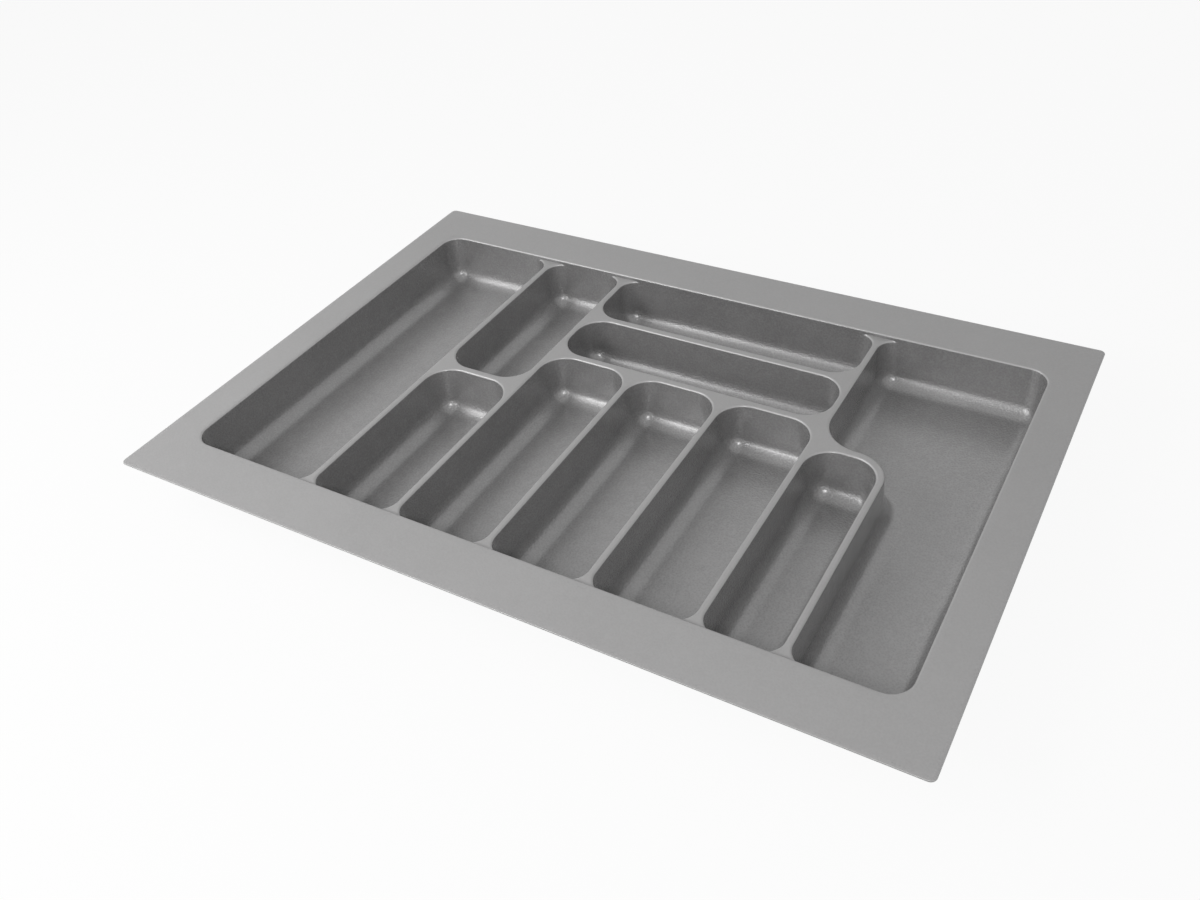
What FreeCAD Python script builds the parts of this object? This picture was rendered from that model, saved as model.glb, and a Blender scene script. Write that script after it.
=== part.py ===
import FreeCAD, Part
import math
import os
import Sketcher

# Cutlery tray for a kitchen drawer: one thermoformed plastic sheet with a flat flange,
# a sunken field of low dividers and ten wells.
# X runs across the drawer, Y towards its back, Z up. The origin is under the centre of the
# tray, on the plane that the well floors stand on. Lengths are in millimetres.

DIMENSIONS = (
    ("sheet_thickness", 1.5),
    ("tray_height", 50),
    ("field_width", 632),
    ("field_depth", 388),
    ("flange_side", 34),
    ("flange_end", 51),
    ("flange_corner", 5),
    ("recess_drop", 4),
    ("web_thickness", 2),
    ("long_divider", 6),
    ("cross_divider", 7.5),
    ("ladle_width", 124.5),
    ("gadget_width", 81.5),
    ("cutlery_width", 82.75),
    ("narrow_width", 59.5),
    ("gadget_length", 194.5),
    ("rear_cross_length", 68),
    ("middle_cross_length", 60),
    ("narrow_length", 218),
    ("field_corner", 18),
    ("well_corner", 22),
    ("server_corner", 34),
    ("server_bend", 30),
    ("draft_angle", 4),
    ("bend_radius", 16),
    ("overcut", 1),
)

doc = FreeCAD.newDocument("cutlery_tray")
size = doc.addObject("Spreadsheet::Sheet", "size")
for row, (alias, number) in enumerate(DIMENSIONS, 1):
    size.set(f"A{row}", alias)
    size.set(f"B{row}", str(number))
    size.setAlias(f"B{row}", alias)
doc.recompute()

# Heights of the three levels of the sheet
FLANGE_TOP = "size.tray_height"
FLANGE_UNDER = "size.tray_height - size.sheet_thickness"
WEB_TOP = "size.tray_height - size.recess_drop"
WEB_UNDER = f"{WEB_TOP} - size.web_thickness"

# Edges of the field, and of the columns of wells from left to right
FIELD_LEFT = "-size.field_width / 2"
FIELD_RIGHT = "size.field_width / 2"
FIELD_FRONT = "-size.field_depth / 2"
FIELD_BACK = "size.field_depth / 2"
COLUMN_WIDTHS = ["ladle_width", "gadget_width"] + ["cutlery_width"] * 3 + ["narrow_width"]
LADLE, FIRST, SECOND, THIRD, FOURTH, NARROW, SERVER = range(7)


def column_left(column):
    """Expression for the left edge of a column of wells."""
    edge = FIELD_LEFT
    for width in COLUMN_WIDTHS[:column]:
        edge += f" + size.{width} + size.long_divider"
    return edge


def column_right(column):
    """Expression for the right edge of a column of wells."""
    return f"{column_left(column)} + size.{COLUMN_WIDTHS[column]}"


def column_middle(column):
    """Expression for the centre line of a column of wells."""
    return f"({column_left(column)} + {column_right(column)}) / 2"


# Corner radii in plan
FLANGE_CORNER = "size.flange_corner"
FIELD_CORNER = "size.field_corner"
WALL_CORNER = f"{FIELD_CORNER} + size.sheet_thickness"
WELL_CORNER = "size.well_corner"
SERVER_CORNER = "size.server_corner"
SERVER_BEND = "size.server_bend"

# The round bend from a drafted wall to the floor: the inset of its centre from the well's mouth,
# and half of its turn from the wall to the bevel that stands in for it
BEND_INSET = "size.bend_radius / cos(size.draft_angle)" \
    f" + ({WEB_UNDER} - size.sheet_thickness - size.bend_radius) * tan(size.draft_angle)"
HALF_TURN = "(90 - size.draft_angle) / 4"

# Edges of the rows of wells
GADGET_FRONT = f"{FIELD_BACK} - size.gadget_length"
TEASPOON_BACK = f"{GADGET_FRONT} - size.cross_divider"
REAR_CROSS_FRONT = f"{FIELD_BACK} - size.rear_cross_length"
MIDDLE_CROSS_BACK = f"{REAR_CROSS_FRONT} - size.cross_divider"
MIDDLE_CROSS_FRONT = f"{MIDDLE_CROSS_BACK} - size.middle_cross_length"
MIDDLE_CROSS_MIDDLE = f"({MIDDLE_CROSS_FRONT} + {MIDDLE_CROSS_BACK}) / 2"
CUTLERY_BACK = f"{MIDDLE_CROSS_FRONT} - size.cross_divider"
NARROW_BACK = f"{FIELD_FRONT} + size.narrow_length"
SERVER_STEP = f"{NARROW_BACK} + size.cross_divider"


def well_corner(x, y):
    """A corner of a well with its radius, which is smaller where it is a corner of the field too."""
    on_field = x in (FIELD_LEFT, FIELD_RIGHT) and y in (FIELD_FRONT, FIELD_BACK)
    return x, y, FIELD_CORNER if on_field else WELL_CORNER


def rectangle(left, right, front, back):
    """Places of the corners of a rectangle in plan."""
    return (left, front), (right, front), (right, back), (left, back)


def plain_well(*edges):
    """Corners of a rectangular well."""
    return [well_corner(x, y) for x, y in rectangle(*edges)]


WELLS = {
    "ladle_well": plain_well(FIELD_LEFT, column_right(LADLE), FIELD_FRONT, FIELD_BACK),
    "gadget_well": plain_well(column_left(FIRST), column_right(FIRST), GADGET_FRONT, FIELD_BACK),
    "teaspoon_well": plain_well(column_left(FIRST), column_right(FIRST), FIELD_FRONT, TEASPOON_BACK),
    "rear_cross_well": plain_well(
        column_left(SECOND), column_right(FOURTH), REAR_CROSS_FRONT, FIELD_BACK),
    "middle_cross_well": plain_well(
        column_left(SECOND), column_right(FOURTH), MIDDLE_CROSS_FRONT, MIDDLE_CROSS_BACK),
    "spoon_well": plain_well(column_left(SECOND), column_right(SECOND), FIELD_FRONT, CUTLERY_BACK),
    "fork_well": plain_well(column_left(THIRD), column_right(THIRD), FIELD_FRONT, CUTLERY_BACK),
    "knife_well": plain_well(column_left(FOURTH), column_right(FOURTH), FIELD_FRONT, CUTLERY_BACK),
    "narrow_well": plain_well(column_left(NARROW), column_right(NARROW), FIELD_FRONT, NARROW_BACK),
    "server_well": [
        well_corner(column_left(SERVER), FIELD_FRONT),
        well_corner(FIELD_RIGHT, FIELD_FRONT),
        well_corner(FIELD_RIGHT, FIELD_BACK),
        well_corner(column_left(NARROW), FIELD_BACK),
        (column_left(NARROW), SERVER_STEP, SERVER_CORNER),
        (column_left(SERVER), SERVER_STEP, SERVER_BEND),
    ],
}


# Parts of the web of dividers, each as the left, right, front and back edge of its share in plan.
# The cross dividers are parted off a little beyond the edges of the long ones they run into.
REACH = f"({SERVER_CORNER} + size.overcut)"
CROSS_DIVIDERS = {
    "gadget_divider": (
        f"{column_left(FIRST)} + size.overcut", f"{column_right(FIRST)} - size.overcut",
        f"{TEASPOON_BACK} - {REACH}", f"{GADGET_FRONT} + {REACH}"),
    "rear_cross_divider": (
        f"{column_left(SECOND)} + size.overcut", f"{column_right(FOURTH)} - size.overcut",
        MIDDLE_CROSS_MIDDLE, f"{REAR_CROSS_FRONT} + {REACH}"),
    "middle_cross_divider": (
        f"{column_left(SECOND)} + size.overcut", f"{column_right(FOURTH)} - size.overcut",
        f"{CUTLERY_BACK} - size.overcut", MIDDLE_CROSS_MIDDLE),
    "server_bend_divider": (
        f"{column_left(NARROW)} + size.overcut", FIELD_RIGHT,
        f"{SERVER_STEP} - {REACH}", f"{SERVER_STEP} + {REACH}"),
}
LONG_DIVIDERS = {
    "ladle_divider": (FIELD_LEFT, column_middle(FIRST), FIELD_FRONT, FIELD_BACK),
    "spoon_divider": (column_middle(FIRST), column_middle(SECOND), FIELD_FRONT, FIELD_BACK),
    "fork_divider": (column_middle(SECOND), column_middle(THIRD), FIELD_FRONT, FIELD_BACK),
    "knife_divider": (column_middle(THIRD), column_middle(FOURTH), FIELD_FRONT, FIELD_BACK),
    "narrow_divider": (column_middle(FOURTH), column_middle(NARROW), FIELD_FRONT, FIELD_BACK),
    "server_divider": (column_middle(NARROW), FIELD_RIGHT, FIELD_FRONT, FIELD_BACK),
}


def value(expression):
    """The number that an expression stands for."""
    return float(size.evalExpression(expression))


def add_sketch(body, name, height, *loops):
    """Sketch closed loops on a level plane."""
    sketch = body.newObject("Sketcher::SketchObject", name)
    plane = next(item for item in body.Origin.OriginFeatures if item.Role == "XY_Plane")
    sketch.AttachmentSupport = [(plane, "")]
    sketch.MapMode = "FlatFace"
    sketch.setExpression("AttachmentOffset.Base.z", height)
    for corners in loops:
        add_loop(sketch, corners)
    doc.recompute()
    return sketch


def turns(corners):
    """Each corner's place, the ways in and out of it, and 1 where it turns left or -1 where right."""
    spots = [FreeCAD.Vector(value(x), value(y), 0) for x, y, _ in corners]
    ways = [(after - spot).normalize() for spot, after in zip(spots, spots[1:] + spots[:1])]
    rounds = zip(spots, ways[-1:] + ways[:-1], ways)
    return [(spot, way_in, way_out, round(way_in.cross(way_out).z)) for spot, way_in, way_out in rounds]


def add_loop(sketch, corners):
    """Draw one loop of straight runs joined by tangent arcs, and bind its sizes to the sheet."""
    starts, ends, arcs = [], [], []
    for (spot, way_in, way_out, side), (_, _, radius) in zip(turns(corners), corners):
        reach = value(radius)
        starts.append(spot - way_in * reach)
        ends.append(spot + way_out * reach)
        centre = starts[-1] + ends[-1] - spot
        first = (starts[-1] if side > 0 else ends[-1]) - centre
        angle = math.atan2(first.y, first.x)
        circle = Part.Circle(centre, FreeCAD.Vector(0, 0, 1), reach)
        arcs.append(sketch.addGeometry(Part.ArcOfCircle(circle, angle, angle + math.pi / 2)))
    runs = zip(ends, starts[1:] + starts[:1])
    lines = [sketch.addGeometry(Part.LineSegment(*run)) for run in runs]
    for arc, before, after, (_, _, way_out, side), (x, y, radius) in zip(
            arcs, lines[-1:] + lines[:-1], lines, turns(corners), corners):
        first, last = (1, 2) if side > 0 else (2, 1)
        sketch.addConstraint(Sketcher.Constraint("Tangent", before, 2, arc, first))
        sketch.addConstraint(Sketcher.Constraint("Tangent", arc, last, after, 1))
        is_across = abs(way_out.x) > 0.5
        sketch.addConstraint(Sketcher.Constraint("Horizontal" if is_across else "Vertical", after))
        kind, place = ("DistanceY", y) if is_across else ("DistanceX", x)
        for rule, expression in (
                (Sketcher.Constraint("Radius", arc, value(radius)), radius),
                (Sketcher.Constraint(kind, -1, 1, after, 1, value(place)), place)):
            index = sketch.addConstraint(rule)
            sketch.setExpression(f"Constraints[{index}]", expression)


def add_pad(body, name, sketch, length):
    """Extrude a sketch upwards."""
    pad = body.newObject("PartDesign::Pad", name)
    pad.Profile = sketch
    pad.setExpression("Length", length)
    doc.recompute()


def drawn_in(corners, inset, shrink):
    """Corners of a loop moved inwards, with the radii of its outer corners made smaller."""
    moved = []
    for (x, y, radius), (_, way_in, way_out, side) in zip(corners, turns(corners)):
        inward_x = round(-way_in.y - way_out.y)
        inward_y = round(way_in.x + way_out.x)
        moved.append((f"{x} + {inward_x} * ({inset})", f"{y} + {inward_y} * ({inset})",
                      f"{radius} - {side} * ({shrink})"))
    return moved


def bevel_edge(turn, grown):
    """Inset and height of an edge of the bevel, which is a tangent of the round bend."""
    angle = f"(size.draft_angle + {turn} * {HALF_TURN})"
    reach = f"(size.bend_radius + {grown}) / cos({HALF_TURN})"
    inset = f"{BEND_INSET} - {reach} * cos({angle})"
    height = f"size.sheet_thickness + size.bend_radius - {reach} * sin({angle})"
    return inset, height


def well_sections(grown):
    """Inset, shrinking of the corners and height of a well's mouth, bevel and floor.

    The outer side of a well is its hollow, grown by the thickness of the sheet.
    """
    bevel_inset, bevel_height = bevel_edge(1, grown)
    floor_inset, floor_height = bevel_edge(3, grown)
    return ((f"-{grown}", f"-{grown}", WEB_UNDER),
            (bevel_inset, f"-{grown}", bevel_height),
            (floor_inset, f"{floor_inset} - ({bevel_inset}) - {grown}", floor_height))


def build_well(name, corners):
    """One well: its outer form lofted from mouth to floor, less the loft of its hollow."""
    body = doc.addObject("PartDesign::Body", name)
    for form, kind, grown in (("outside", "AdditiveLoft", "size.sheet_thickness"),
                              ("hollow", "SubtractiveLoft", "0")):
        outlines = [add_sketch(body, f"{name}_{form}_outline", height, drawn_in(corners, inset, shrink))
                    for inset, shrink, height in well_sections(grown)]
        loft = body.newObject(f"PartDesign::{kind}", f"{name}_{form}")
        loft.Profile = outlines[0]
        loft.Sections = outlines[1:]
        loft.Ruled = True
        doc.recompute()
    return body


def build_flange():
    """The flat flange, with the short wall that drops from its inner edge."""
    body = doc.addObject("PartDesign::Body", "flange")
    outside = grown_field("size.flange_side", "size.flange_end", FLANGE_CORNER)
    around = grown_field("size.sheet_thickness", "size.sheet_thickness", WALL_CORNER)
    field = grown_field("0", "0", FIELD_CORNER)
    plate = add_sketch(body, "flange_outline", FLANGE_UNDER, outside, field)
    add_pad(body, "flange_plate", plate, "size.sheet_thickness")
    wall = add_sketch(body, "recess_outline", WEB_UNDER, around, field)
    add_pad(body, "recess_wall", wall, f"{FLANGE_UNDER} - ({WEB_UNDER})")
    return body


def grown_field(side, end, radius):
    """The field outline moved outwards by a margin at the sides and another at the ends."""
    right = f"{FIELD_RIGHT} + {side}"
    back = f"{FIELD_BACK} + {end}"
    return [(x, y, radius) for x, y in rectangle(f"-({right})", right, f"-({back})", back)]


def build_grid():
    """The whole web: a plate with an opening over every well, cut to the field."""
    web = doc.addObject("PartDesign::Body", "web_plate")
    margin = "4 * size.overcut"
    outside = grown_field(margin, margin, FIELD_CORNER)
    openings = [[pushed_out(corner) for corner in corners] for corners in WELLS.values()]
    outline = add_sketch(web, "web_outline", WEB_UNDER, outside, *openings)
    add_pad(web, "web_pad", outline, "size.web_thickness")

    block = doc.addObject("PartDesign::Body", "field_block")
    outline = add_sketch(block, "field_outline", "0", grown_field("0", "0", FIELD_CORNER))
    add_pad(block, "field_prism", outline, FLANGE_TOP)

    return add_boolean("Part::Common", "divider_grid", web, block)


def pushed_out(corner):
    """A corner moved just past the field wall, where it stands on that wall."""
    x, y, radius = corner
    shift = {FIELD_LEFT: " - size.overcut", FIELD_RIGHT: " + size.overcut"}
    rise = {FIELD_FRONT: " - size.overcut", FIELD_BACK: " + size.overcut"}
    return x + shift.get(x, ""), y + rise.get(y, ""), radius


def add_boolean(kind, name, base, tool):
    """Combine two shapes into a new one."""
    result = doc.addObject(kind, name)
    result.Base = base
    result.Tool = tool
    doc.recompute()
    return result


def add_share(name, left, right, front, back):
    """A plain block over one share of the field in plan."""
    block = doc.addObject("Part::Box", f"{name}_share")
    block.setExpression("Placement.Base.x", left)
    block.setExpression("Placement.Base.y", front)
    block.setExpression("Length", f"{right} - ({left})")
    block.setExpression("Width", f"{back} - ({front})")
    block.setExpression("Height", FLANGE_TOP)
    doc.recompute()
    return block


def build_dividers():
    """Part the web into its dividers: first those that cross, then the long ones."""
    web = build_grid()
    shares = {name: add_share(name, *edges) for name, edges in CROSS_DIVIDERS.items()}
    dividers = [add_boolean("Part::Common", name, web, share) for name, share in shares.items()]
    crossings = doc.addObject("Part::MultiFuse", "crossings")
    crossings.Shapes = list(shares.values())
    long_web = add_boolean("Part::Cut", "long_web", web, crossings)
    for name, edges in LONG_DIVIDERS.items():
        dividers.append(add_boolean("Part::Common", name, long_web, add_share(name, *edges)))
    return dividers


subparts = [build_flange()] + build_dividers()
subparts += [build_well(name, corners) for name, corners in WELLS.items()]
doc.recompute()

for item in doc.Objects:
    if "Invalid" in item.State or "Error" in item.State:
        raise RuntimeError(f"{item.Name} did not compute: {item.State}")
os.makedirs("parts", exist_ok=True)
for item in subparts:
    if item.Shape.isNull() or not item.Shape.isValid() or len(item.Shape.Solids) != 1:
        raise RuntimeError(f"{item.Label} is not one sound solid")
    item.Shape.exportStep(f"parts/{item.Label}.step")
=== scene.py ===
import math
from collections import namedtuple

import bmesh
import bpy
from mathutils import Matrix, Quaternion, Vector


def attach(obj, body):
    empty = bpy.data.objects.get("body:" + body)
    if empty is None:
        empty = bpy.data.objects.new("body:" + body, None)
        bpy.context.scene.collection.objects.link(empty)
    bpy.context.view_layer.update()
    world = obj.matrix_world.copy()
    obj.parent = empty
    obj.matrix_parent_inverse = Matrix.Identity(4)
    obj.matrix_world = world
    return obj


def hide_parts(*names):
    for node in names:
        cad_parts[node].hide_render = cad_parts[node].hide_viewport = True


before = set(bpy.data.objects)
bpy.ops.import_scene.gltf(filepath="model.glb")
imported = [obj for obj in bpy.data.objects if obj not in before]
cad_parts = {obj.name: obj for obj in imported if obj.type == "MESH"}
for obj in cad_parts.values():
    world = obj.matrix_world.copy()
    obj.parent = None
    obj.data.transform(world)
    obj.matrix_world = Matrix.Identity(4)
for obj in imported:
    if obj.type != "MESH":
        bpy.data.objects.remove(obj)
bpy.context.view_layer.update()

# Sizes of the formed sheet in millimetres; the finished mesh is scaled to metres
MM = 0.001
SHEET = 1.5
FLANGE_TOP = 50.0
WEB_TOP = 46.0
FIELD_WIDTH = 632.0
FIELD_DEPTH = 388.0
FLANGE_SIDE = 34.0
FLANGE_END = 51.0
FLANGE_CORNER = 5.0
TRIM_ROUND = 0.5
LONG_DIVIDER = 6.0
CROSS_DIVIDER = 7.5
GADGET_LENGTH = 194.5
REAR_CROSS_LENGTH = 68.0
MIDDLE_CROSS_LENGTH = 60.0
NARROW_LENGTH = 218.0
FIELD_CORNER = 18.0
EDGE_CORNER = 16.0
MOUTH_CORNER = 25.0
SERVER_CORNER = 34.0
SERVER_BEND = 30.0
FLOOR_BEND = 16.0
LIP = 2.0
DRAFT = math.radians(4)

# How finely curves are divided, and the least radius that a corner narrows to
CORNER_STEPS = 14
LIP_STEPS = 6
BEND_STEPS = 14
TRIM_STEPS = 3
POINT_ROUND = 0.3
SHARP_ANGLE = math.radians(32)

# Narrow level strips beside the curves, which keep the flat faces evenly shaded
LIP_LEDGE = 0.4
FLOOR_LEDGE = 2.5
FLANGE_LEDGE = 4.0
TRIM_LEDGE = 2.5

# What counts as the same place, as lying on a line, and as a face without area
SAME_SPOT = 0.001
ON_LINE = 0.01
NO_AREA = 0.001

# Columns of wells from left to right, and the edges of the rows
COLUMN_WIDTHS = {
    "ladle": 124.5, "first": 81.5, "spoon": 82.75, "fork": 82.75, "knife": 82.75, "narrow": 59.5}
LEFT, RIGHT = -FIELD_WIDTH / 2, FIELD_WIDTH / 2
FRONT, BACK = -FIELD_DEPTH / 2, FIELD_DEPTH / 2
GADGET_FRONT = BACK - GADGET_LENGTH
TEASPOON_BACK = GADGET_FRONT - CROSS_DIVIDER
REAR_CROSS_FRONT = BACK - REAR_CROSS_LENGTH
MIDDLE_CROSS_BACK = REAR_CROSS_FRONT - CROSS_DIVIDER
MIDDLE_CROSS_FRONT = MIDDLE_CROSS_BACK - MIDDLE_CROSS_LENGTH
CUTLERY_BACK = MIDDLE_CROSS_FRONT - CROSS_DIVIDER
NARROW_BACK = FRONT + NARROW_LENGTH
SERVER_STEP = NARROW_BACK + CROSS_DIVIDER

# A corner of a well in plan: its place, the way from there to the centre of its arc, its radius at
# the mouth, whether the well fills the inside of the corner (1) or goes round it (-1), and whether
# the arc narrows down the wall to the radius of the floor bend
Corner = namedtuple("Corner", "x y towards_x towards_y mouth side narrows", defaults=(1, True))


def column_edges():
    """Left and right edge of each column of wells."""
    edges = {}
    left = LEFT
    for name, width in COLUMN_WIDTHS.items():
        edges[name] = (left, left + width)
        left += width + LONG_DIVIDER
    edges["server"] = (left, RIGHT)
    return edges


def well_corner(x, y, towards_x, towards_y):
    """A plain corner of a well, which is tighter where the well ends at the flange."""
    if y not in (FRONT, BACK):
        mouth = MOUTH_CORNER
    elif x in (LEFT, RIGHT):
        mouth = FIELD_CORNER
    else:
        mouth = EDGE_CORNER
    return Corner(x, y, towards_x, towards_y, mouth)


def box_well(left, right, front, back):
    """The four corners of a plain well."""
    return [well_corner(left, front, 1, 1), well_corner(right, front, -1, 1),
            well_corner(right, back, -1, -1), well_corner(left, back, 1, -1)]


def all_wells():
    """The corners of every well, in order round its mouth."""
    column = column_edges()
    cross_left, cross_right = column["spoon"][0], column["knife"][1]
    server_left, step_left = column["server"][0], column["narrow"][0]
    wells = [
        box_well(*column["ladle"], FRONT, BACK),
        box_well(*column["first"], GADGET_FRONT, BACK),
        box_well(*column["first"], FRONT, TEASPOON_BACK),
        box_well(cross_left, cross_right, REAR_CROSS_FRONT, BACK),
        box_well(cross_left, cross_right, MIDDLE_CROSS_FRONT, MIDDLE_CROSS_BACK),
        box_well(*column["narrow"], FRONT, NARROW_BACK),
    ]
    wells += [box_well(*column[name], FRONT, CUTLERY_BACK) for name in ("spoon", "fork", "knife")]
    wells.append([
        well_corner(server_left, FRONT, 1, 1), well_corner(RIGHT, FRONT, -1, 1),
        well_corner(RIGHT, BACK, -1, -1), well_corner(step_left, BACK, 1, -1),
        Corner(step_left, SERVER_STEP, 1, 1, SERVER_CORNER, 1, False),
        Corner(server_left, SERVER_STEP, -1, -1, SERVER_BEND, -1, False),
    ])
    return wells


def corner_arc(corner, inset, radius, level):
    """Centre and radius of a corner's arc on a ring, given the inset of the ring's straight runs.

    Where the ring gives no radius, or the corner doesn't narrow, the arc keeps its centre.
    """
    if radius is None or not corner.narrows:
        radius = corner.mouth - corner.side * inset
    reach = radius + corner.side * inset
    return Vector((corner.x + corner.towards_x * reach, corner.y + corner.towards_y * reach, level)), radius


def well_profile(depth):
    """Inset, corner radius and height of each ring of a well, from its lip down to its floor.

    The depth is the distance into the sheet from its upper side.
    """
    rings = [(-LIP - LIP_LEDGE, None, WEB_TOP - depth)]
    quarter = math.pi / 2 - DRAFT
    lip_height, lip_roll = WEB_TOP - LIP, LIP - depth
    for step in range(LIP_STEPS + 1):
        turn = quarter * step / LIP_STEPS
        rings.append((lip_roll * math.sin(turn) - LIP, None, lip_height + lip_roll * math.cos(turn)))
    ball_height, ball = SHEET + FLOOR_BEND, FLOOR_BEND + depth
    fall = (lip_height - ball_height) * math.sin(DRAFT)
    ball_inset = (LIP + FLOOR_BEND + fall) / math.cos(DRAFT) - LIP
    for step in range(BEND_STEPS + 1):
        turn = DRAFT + quarter * step / BEND_STEPS
        radius = max(ball * math.cos(turn), POINT_ROUND)
        rings.append((ball_inset - radius, radius, ball_height - ball * math.sin(turn)))
    rings.append((ball_inset + FLOOR_LEDGE, POINT_ROUND, SHEET - depth))
    return rings


def nearest_corner(corners, vert):
    """The corner of a well that a vertex of its rings belongs to."""
    return min(corners, key=lambda corner: (vert.co.x - corner.x) ** 2 + (vert.co.y - corner.y) ** 2)


def form_well(corners, depth):
    """One side of a well: its mouth rounded off, then pulled down ring by ring."""
    rings = well_profile(depth)
    form = bmesh.new()
    grown, _, level = rings[0]
    spots = []
    for corner in corners:
        shift = grown * corner.side
        spot = (corner.x + corner.towards_x * shift, corner.y + corner.towards_y * shift, level)
        spots.append(form.verts.new(spot))
    form.faces.new(spots)
    for corner, spot in zip(corners, spots):
        radius = corner_arc(corner, *rings[0])[1]
        bmesh.ops.bevel(form, geom=[spot], offset=radius, offset_type="OFFSET", segments=CORNER_STEPS,
                        profile=0.5, affect="VERTICES", material=-1)
    face = next(iter(form.faces))
    for before, after in zip(rings, rings[1:]):
        face = bmesh.ops.extrude_discrete_faces(form, faces=[face])["faces"][0]
        for corner in corners:
            arc = [vert for vert in face.verts if nearest_corner(corners, vert) is corner]
            centre, radius = corner_arc(corner, *before)
            next_centre, next_radius = corner_arc(corner, *after)
            ratio = next_radius / radius
            bmesh.ops.scale(form, vec=(ratio, ratio, 1), space=Matrix.Translation(-centre), verts=arc)
            bmesh.ops.translate(form, vec=next_centre - centre, verts=arc)
    return form


def add_form(target, form):
    """Move one bmesh into another."""
    mesh = bpy.data.meshes.new("form")
    form.to_mesh(mesh)
    form.free()
    target.from_mesh(mesh)
    bpy.data.meshes.remove(mesh)


class Outline:
    """A rectangle with round corners, as a distance round the rectangle of its arcs' centres."""

    def __init__(self, width, depth, radius):
        self.half_width = width / 2 - radius
        self.half_depth = depth / 2 - radius
        self.radius = radius

    def split(self, point):
        """The nearest point of the inner rectangle, and the level way from there to a point."""
        x = max(-self.half_width, min(self.half_width, point.x))
        y = max(-self.half_depth, min(self.half_depth, point.y))
        return Vector((x, y, point.z)), Vector((point.x - x, point.y - y, 0))

    def grown_by(self, point):
        """How far a point lies outside the outline."""
        return self.split(point)[1].length - self.radius

    def place(self, point, grown, level):
        """A point moved square to the outline, to where this has grown by a distance."""
        inner, way = self.split(point)
        spot = inner + way.normalized() * (self.radius + grown)
        return Vector((spot.x, spot.y, level))


FIELD = Outline(FIELD_WIDTH, FIELD_DEPTH, FIELD_CORNER)
FLANGE = Outline(FIELD_WIDTH + 2 * FLANGE_SIDE, FIELD_DEPTH + 2 * FLANGE_END, FLANGE_CORNER)


def draw_on(skin, edges, outline, grown, level):
    """Extrude a loop of edges to where an outline has grown by a distance, at a level."""
    made = bmesh.ops.extrude_edge_only(skin, edges=edges)["geom"]
    verts = {item for item in made if isinstance(item, bmesh.types.BMVert)}
    for vert in verts:
        vert.co = outline.place(vert.co, grown, level)
    return [item for item in made if isinstance(item, bmesh.types.BMEdge) and verts.issuperset(item.verts)]


def is_open(edge):
    """Whether an edge still waits for a face."""
    return edge.is_wire or edge.is_boundary


def fill_web(skin, depth):
    """Close the tops of the dividers, and return the loop of edges round the field."""

    def on_field(vert):
        return abs(FIELD.grown_by(vert.co) - depth) < ON_LINE

    rim = [vert for vert in skin.verts if vert.is_boundary and on_field(vert)]
    ends = []
    for line in (FRONT - depth, BACK + depth):
        row = [vert for vert in rim if abs(vert.co.y - line) < ON_LINE]
        row.sort(key=lambda vert: vert.co.x)
        for vert, after in zip(row, row[1:]):
            if all(edge.other_vert(vert) is not after for edge in vert.link_edges):
                ends.append(skin.edges.new((vert, after)))
    around = [edge for edge in skin.edges if is_open(edge) and all(map(on_field, edge.verts))]
    taken = set(around)
    lips = [edge for edge in skin.edges if edge.is_boundary and edge not in taken]
    bmesh.ops.triangle_fill(skin, use_beauty=True, use_dissolve=False, edges=lips + ends, normal=(0, 0, 1))
    return around


def fill_flange(skin, inner, depth):
    """Close the flange from its inner edge to a loop just inside the trimmed edge, and return that loop."""
    level = FLANGE_TOP - depth
    reach = FLANGE.radius - TRIM_ROUND - TRIM_LEDGE
    before = set(skin.edges)
    spots = []
    for x, y in ((-1, -1), (1, -1), (1, 1), (-1, 1)):
        spot = (x * (FLANGE.half_width + reach), y * (FLANGE.half_depth + reach), level)
        spots.append(skin.verts.new(spot))
    skin.faces.new(spots)
    bmesh.ops.bevel(skin, geom=spots, offset=reach, offset_type="OFFSET", segments=CORNER_STEPS,
                    profile=0.5, affect="VERTICES", material=-1)
    trim = [edge for edge in skin.edges if edge not in before]
    bmesh.ops.delete(skin, geom=[edge.link_faces[0] for edge in trim[:1]], context="FACES_ONLY")
    bmesh.ops.triangle_fill(skin, use_beauty=True, use_dissolve=False, edges=inner + trim, normal=(0, 0, 1))
    return trim


def trim_to_field(skin, depth):
    """Push the lips that reach past the field back to its edge, and drop the faces this flattens."""
    for vert in skin.verts:
        if FIELD.grown_by(vert.co) > depth:
            vert.co = FIELD.place(vert.co, depth, vert.co.z)
    bmesh.ops.remove_doubles(skin, verts=skin.verts, dist=SAME_SPOT)
    flattened = [face for face in skin.faces if face.calc_area() < NO_AREA]
    bmesh.ops.delete(skin, geom=flattened, context="FACES")


def form_side(depth, material):
    """One whole side of the sheet, from the well floors to half way round the trimmed edge."""
    skin = bmesh.new()
    for corners in all_wells():
        add_form(skin, form_well(corners, depth))
    trim_to_field(skin, depth)
    loop = fill_web(skin, depth)
    lip_height, lip_roll = FLANGE_TOP - LIP, LIP - depth
    for step in range(LIP_STEPS + 1):
        turn = math.pi / 2 * step / LIP_STEPS
        grown = LIP - lip_roll * math.cos(turn)
        loop = draw_on(skin, loop, FIELD, grown, lip_height + lip_roll * math.sin(turn))
    loop = draw_on(skin, loop, FIELD, LIP + FLANGE_LEDGE, FLANGE_TOP - depth)
    loop = fill_flange(skin, loop, depth)
    fall = 1 if depth else -1
    for step in range(TRIM_STEPS + 1):
        turn = math.pi / 2 * step / TRIM_STEPS
        drop = fall * TRIM_ROUND * (1 - math.cos(turn))
        loop = draw_on(skin, loop, FLANGE, TRIM_ROUND * (math.sin(turn) - 1), FLANGE_TOP - depth + drop)
    for face in skin.faces:
        face.material_index = material
    return skin


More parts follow.
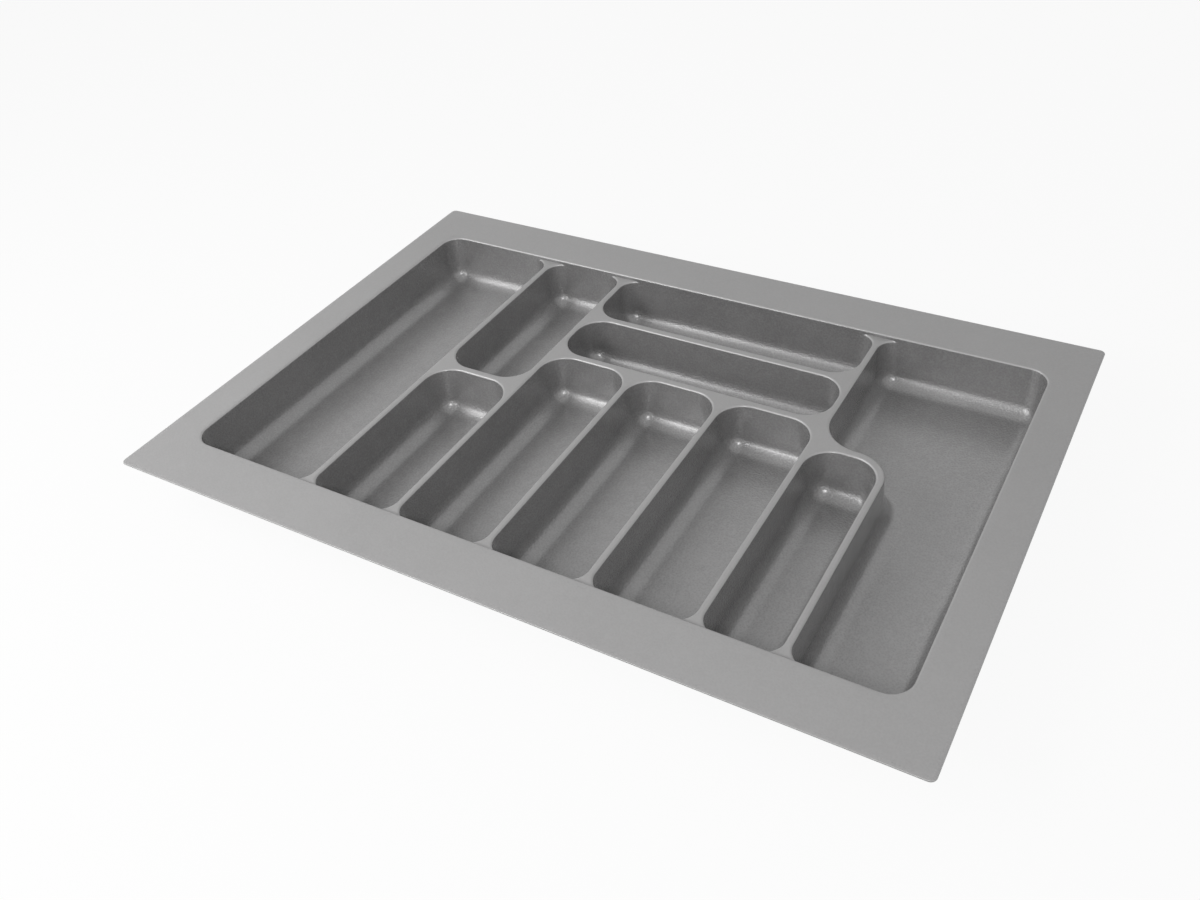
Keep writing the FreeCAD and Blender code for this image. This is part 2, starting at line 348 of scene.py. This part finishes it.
def form_sheet():
    """The whole tray: its upper side and its underside, joined round the trimmed edge."""
    sheet = bmesh.new()
    add_form(sheet, form_side(0.0, 0))
    add_form(sheet, form_side(SHEET, 1))
    bmesh.ops.bridge_loops(sheet, edges=[edge for edge in sheet.edges if edge.is_boundary])
    bmesh.ops.scale(sheet, vec=(MM, MM, MM), verts=sheet.verts)
    bmesh.ops.recalc_face_normals(sheet, faces=sheet.faces)
    for face in sheet.faces:
        face.smooth = True
    mesh = bpy.data.meshes.new("tray_sheet")
    sheet.to_mesh(mesh)
    sheet.free()
    mesh.set_sharp_from_angle(angle=SHARP_ANGLE)
    return mesh


class Wire:
    """A socket in a node tree; maths on it adds Math nodes."""

    def __init__(self, tree, socket=None):
        self.tree = tree
        self.socket = socket

    def node(self, kind, settings, inputs, output=0):
        """Add a node, set it up, feed its sockets, and return one of its outputs."""
        node = self.tree.nodes.new(kind)
        for name, setting in settings.items():
            setattr(node, name, setting)
        for name, given in inputs.items():
            if isinstance(given, Wire):
                self.tree.links.new(given.socket, node.inputs[name])
            else:
                node.inputs[name].default_value = given
        return Wire(self.tree, node.outputs[output] if node.outputs else None)

    def maths(self, operation, first, second):
        """A Math node on two values."""
        return self.node("ShaderNodeMath", {"operation": operation}, {0: first, 1: second})

    def __add__(self, other):
        return self.maths("ADD", self, other)

    def __radd__(self, other):
        return self.maths("ADD", other, self)

    def __sub__(self, other):
        return self.maths("SUBTRACT", self, other)

    def __rsub__(self, other):
        return self.maths("SUBTRACT", other, self)

    def __mul__(self, other):
        return self.maths("MULTIPLY", self, other)

    def __rmul__(self, other):
        return self.maths("MULTIPLY", other, self)

    def noise(self, scale, detail):
        """Noise about a half, read at this vector."""
        return self.node("ShaderNodeTexNoise", {}, {"Vector": self, "Scale": scale, "Detail": detail}, "Fac")

    def blend(self, first, second):
        """A colour between two, by this factor."""
        return self.node("ShaderNodeMix", {"data_type": "RGBA"}, {0: self, 6: first, 7: second}, 2)

    def ramp(self, low, high, start, end):
        """This value taken smoothly from one range to another."""
        return self.node("ShaderNodeMapRange", {"interpolation_type": "SMOOTHSTEP"},
                         {"Value": self, "From Min": low, "From Max": high, "To Min": start, "To Max": end})


def new_tree(owner):
    """An empty node tree for a material or the world."""
    owner.use_nodes = True
    owner.node_tree.nodes.clear()
    return Wire(owner.node_tree)


# Heights in metres between which the wells' stretched finish and their painted shade fade out, and the
# ranges of the squared upward part of the surface's direction in which a wall counts as stretched and
# painted in shade, and an edge as rolled
WELL_FADE = (0.038, 0.044)
WALL_FADE = (0.05, 0.4)
ROLLED_FADE = (0.5, 0.98)

# Cells to the metre of the plastic's pebbles, its fine grain, its patches and its faint clouding
PEBBLES = 620.0
FINE_GRAIN = 1900.0
PATCHES = 90.0
CLOUDING = 14.0
PEBBLE_HEIGHT = 0.0003


def grained_plastic(name, dark, light, painted_well_shade, gloss, grain):
    """Grey sheet plastic: a fine pebbled grain, glossier down in the stretched wells, with the wells and
    upright walls painted darker as shade.
    """
    material = bpy.data.materials.new(name)
    tree = new_tree(material)
    place = tree.node("ShaderNodeTexCoord", {}, {}, "Object")
    height = tree.node("ShaderNodeSeparateXYZ", {}, {"Vector": place}, "Z")
    facing = tree.node("ShaderNodeTexCoord", {}, {}, "Normal")
    level = tree.node("ShaderNodeSeparateXYZ", {}, {"Vector": facing}, "Z")
    in_well = height.ramp(*WELL_FADE, 1.0, 0.0)
    level_share = level * level
    # Mask of the stretched wells and upright walls: it sets their gloss and grain, and where the painted
    # shade goes
    drawn_and_shaded = tree.maths("MAXIMUM", in_well, level_share.ramp(*WALL_FADE, 1.0, 0.0))
    rolled = level_share.ramp(*ROLLED_FADE, 1.0, 0.0)
    pebbles = tree.node("ShaderNodeTexVoronoi", {"feature": "SMOOTH_F1"},
                        {"Vector": place, "Scale": PEBBLES, "Smoothness": 0.6}, "Distance")
    fine = place.noise(FINE_GRAIN, 2.0)
    cloud = place.noise(CLOUDING, 3.0)
    patches = place.noise(PATCHES, 2.0)
    relief = (pebbles + fine * 0.4) * (drawn_and_shaded * 2.7 + 0.3)
    normal = tree.node("ShaderNodeBump", {}, {
        "Strength": grain, "Distance": PEBBLE_HEIGHT, "Height": relief})
    tint = cloud * 0.3 + patches * 0.2 + pebbles * 0.3 + fine * 0.2
    shade = tint.ramp(0.2, 0.7, 0.0, 1.0)
    # Painted shade: the wells and upright walls take the darker colour, a little less where the tint is
    # light
    colour = (drawn_and_shaded * (1.0 - shade * 0.3)).blend(shade.blend(dark, light), painted_well_shade)
    roughness = gloss + (patches - 0.5) * 0.06 + (fine - 0.5) * 0.08 - drawn_and_shaded * 0.16
    shader = tree.node("ShaderNodeBsdfPrincipled", {}, {
        "Base Color": colour, "Roughness": roughness, "Normal": normal, "IOR": 1.59,
        "Coat Weight": tree.maths("MAXIMUM", drawn_and_shaded, rolled), "Coat Roughness": 0.27, "Coat IOR": 1.8})
    tree.node("ShaderNodeOutputMaterial", {}, {"Surface": shader})
    return material


def background_seen(tree):
    """One for a ray that looks at the background, in a mirror or through a piece too, else nothing."""
    camera, glossy, through = (tree.node("ShaderNodeLightPath", {}, {}, f"Is {ray} Ray")
                               for ray in ("Camera", "Glossy", "Transmission"))
    return camera + glossy + through


def pale_floor(whiteness):
    """A near-white floor that still takes the tray's shadow."""
    material = bpy.data.materials.new("pale_floor")
    tree = new_tree(material)
    grey = tree.node("ShaderNodeBsdfDiffuse", {}, {"Color": (0.8, 0.8, 0.8, 1)})
    white = tree.node("ShaderNodeEmission", {}, {"Color": (1, 1, 1, 1), "Strength": 1.0})
    shader = tree.node("ShaderNodeMixShader", {}, {0: background_seen(tree) * whiteness, 1: grey, 2: white})
    tree.node("ShaderNodeOutputMaterial", {}, {"Surface": shader})
    return material


def light_world(ambient):
    """Soft grey light from all round, behind a white background."""
    world = bpy.data.worlds.new("studio")
    bpy.context.scene.world = world
    tree = new_tree(world)
    strength = background_seen(tree).ramp(0.0, 1.0, ambient, 1.0)
    shader = tree.node("ShaderNodeBackground", {}, {"Color": (1, 1, 1, 1), "Strength": strength})
    tree.node("ShaderNodeOutputWorld", {}, {"Surface": shader})


def place_towards(item, spot, aim, roll=0.0):
    """Stand a lamp or the camera at one point, turned towards another, and link it to the scene."""
    tilt = Quaternion((0, 0, 1), math.radians(roll))
    item.location = spot
    item.rotation_euler = ((Vector(aim) - Vector(spot)).to_track_quat("-Z", "Y") @ tilt).to_euler()
    bpy.context.scene.collection.objects.link(item)


def add_softbox(name, spot, width, depth, watts):
    """A rectangular lamp turned towards the tray."""
    lamp = bpy.data.lights.new(name, "AREA")
    lamp.shape = "RECTANGLE"
    lamp.size = width
    lamp.size_y = depth
    lamp.energy = watts
    place_towards(bpy.data.objects.new(name, lamp), spot, (0, 0, 0))


def add_camera(spot, aim, roll, focal_length):
    """The camera, at the front right of the tray and a little tilted."""
    lens = bpy.data.cameras.new("camera")
    lens.sensor_width = 36.0
    lens.lens = focal_length
    camera = bpy.data.objects.new("camera", lens)
    place_towards(camera, spot, aim, roll)
    bpy.context.scene.camera = camera


def add_floor(reach, drop, whiteness):
    """The floor that the tray stands on, a hair below it."""
    ground = bmesh.new()
    bmesh.ops.create_grid(ground, x_segments=1, y_segments=1, size=reach)
    bmesh.ops.translate(ground, vec=(0, 0, -drop), verts=ground.verts)
    mesh = bpy.data.meshes.new("floor")
    ground.to_mesh(mesh)
    ground.free()
    mesh.materials.append(pale_floor(whiteness))
    floor = bpy.data.objects.new("floor", mesh)
    bpy.context.scene.collection.objects.link(floor)


tray_mesh = form_sheet()
# The third, darker colour of each plastic is painted shade for the wells and walls
tray_mesh.materials.append(grained_plastic(
    "grained_grey_plastic", dark=(0.350, 0.346, 0.346, 1), light=(0.390, 0.386, 0.386, 1),
    painted_well_shade=(0.152, 0.150, 0.150, 1), gloss=0.38, grain=0.5))
tray_mesh.materials.append(grained_plastic(
    "plain_grey_plastic", dark=(0.295, 0.292, 0.291, 1), light=(0.325, 0.322, 0.320, 1),
    painted_well_shade=(0.270, 0.268, 0.267, 1), gloss=0.5, grain=0.12))
tray = bpy.data.objects.new("tray_sheet", tray_mesh)
bpy.context.scene.collection.objects.link(tray)
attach(tray, "root")
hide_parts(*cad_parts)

add_floor(reach=6.0, drop=0.0003, whiteness=0.92)
add_camera((0.4093, -0.6623, 0.6361), (0.0149, -0.0586, 0.05), roll=-5.31, focal_length=33.93)
light_world(ambient=0.33)
add_softbox("key_softbox", (-0.82, -0.69, 0.83), width=0.95, depth=0.6, watts=6.5)
add_softbox("front_softbox", (-0.49, -1.19, 0.77), width=0.7, depth=0.2, watts=4.0)
add_softbox("camera_lamp", (0.49, -1.04, 0.96), width=0.15, depth=0.15, watts=4.4)

bpy.context.scene.view_settings.view_transform = "Standard"
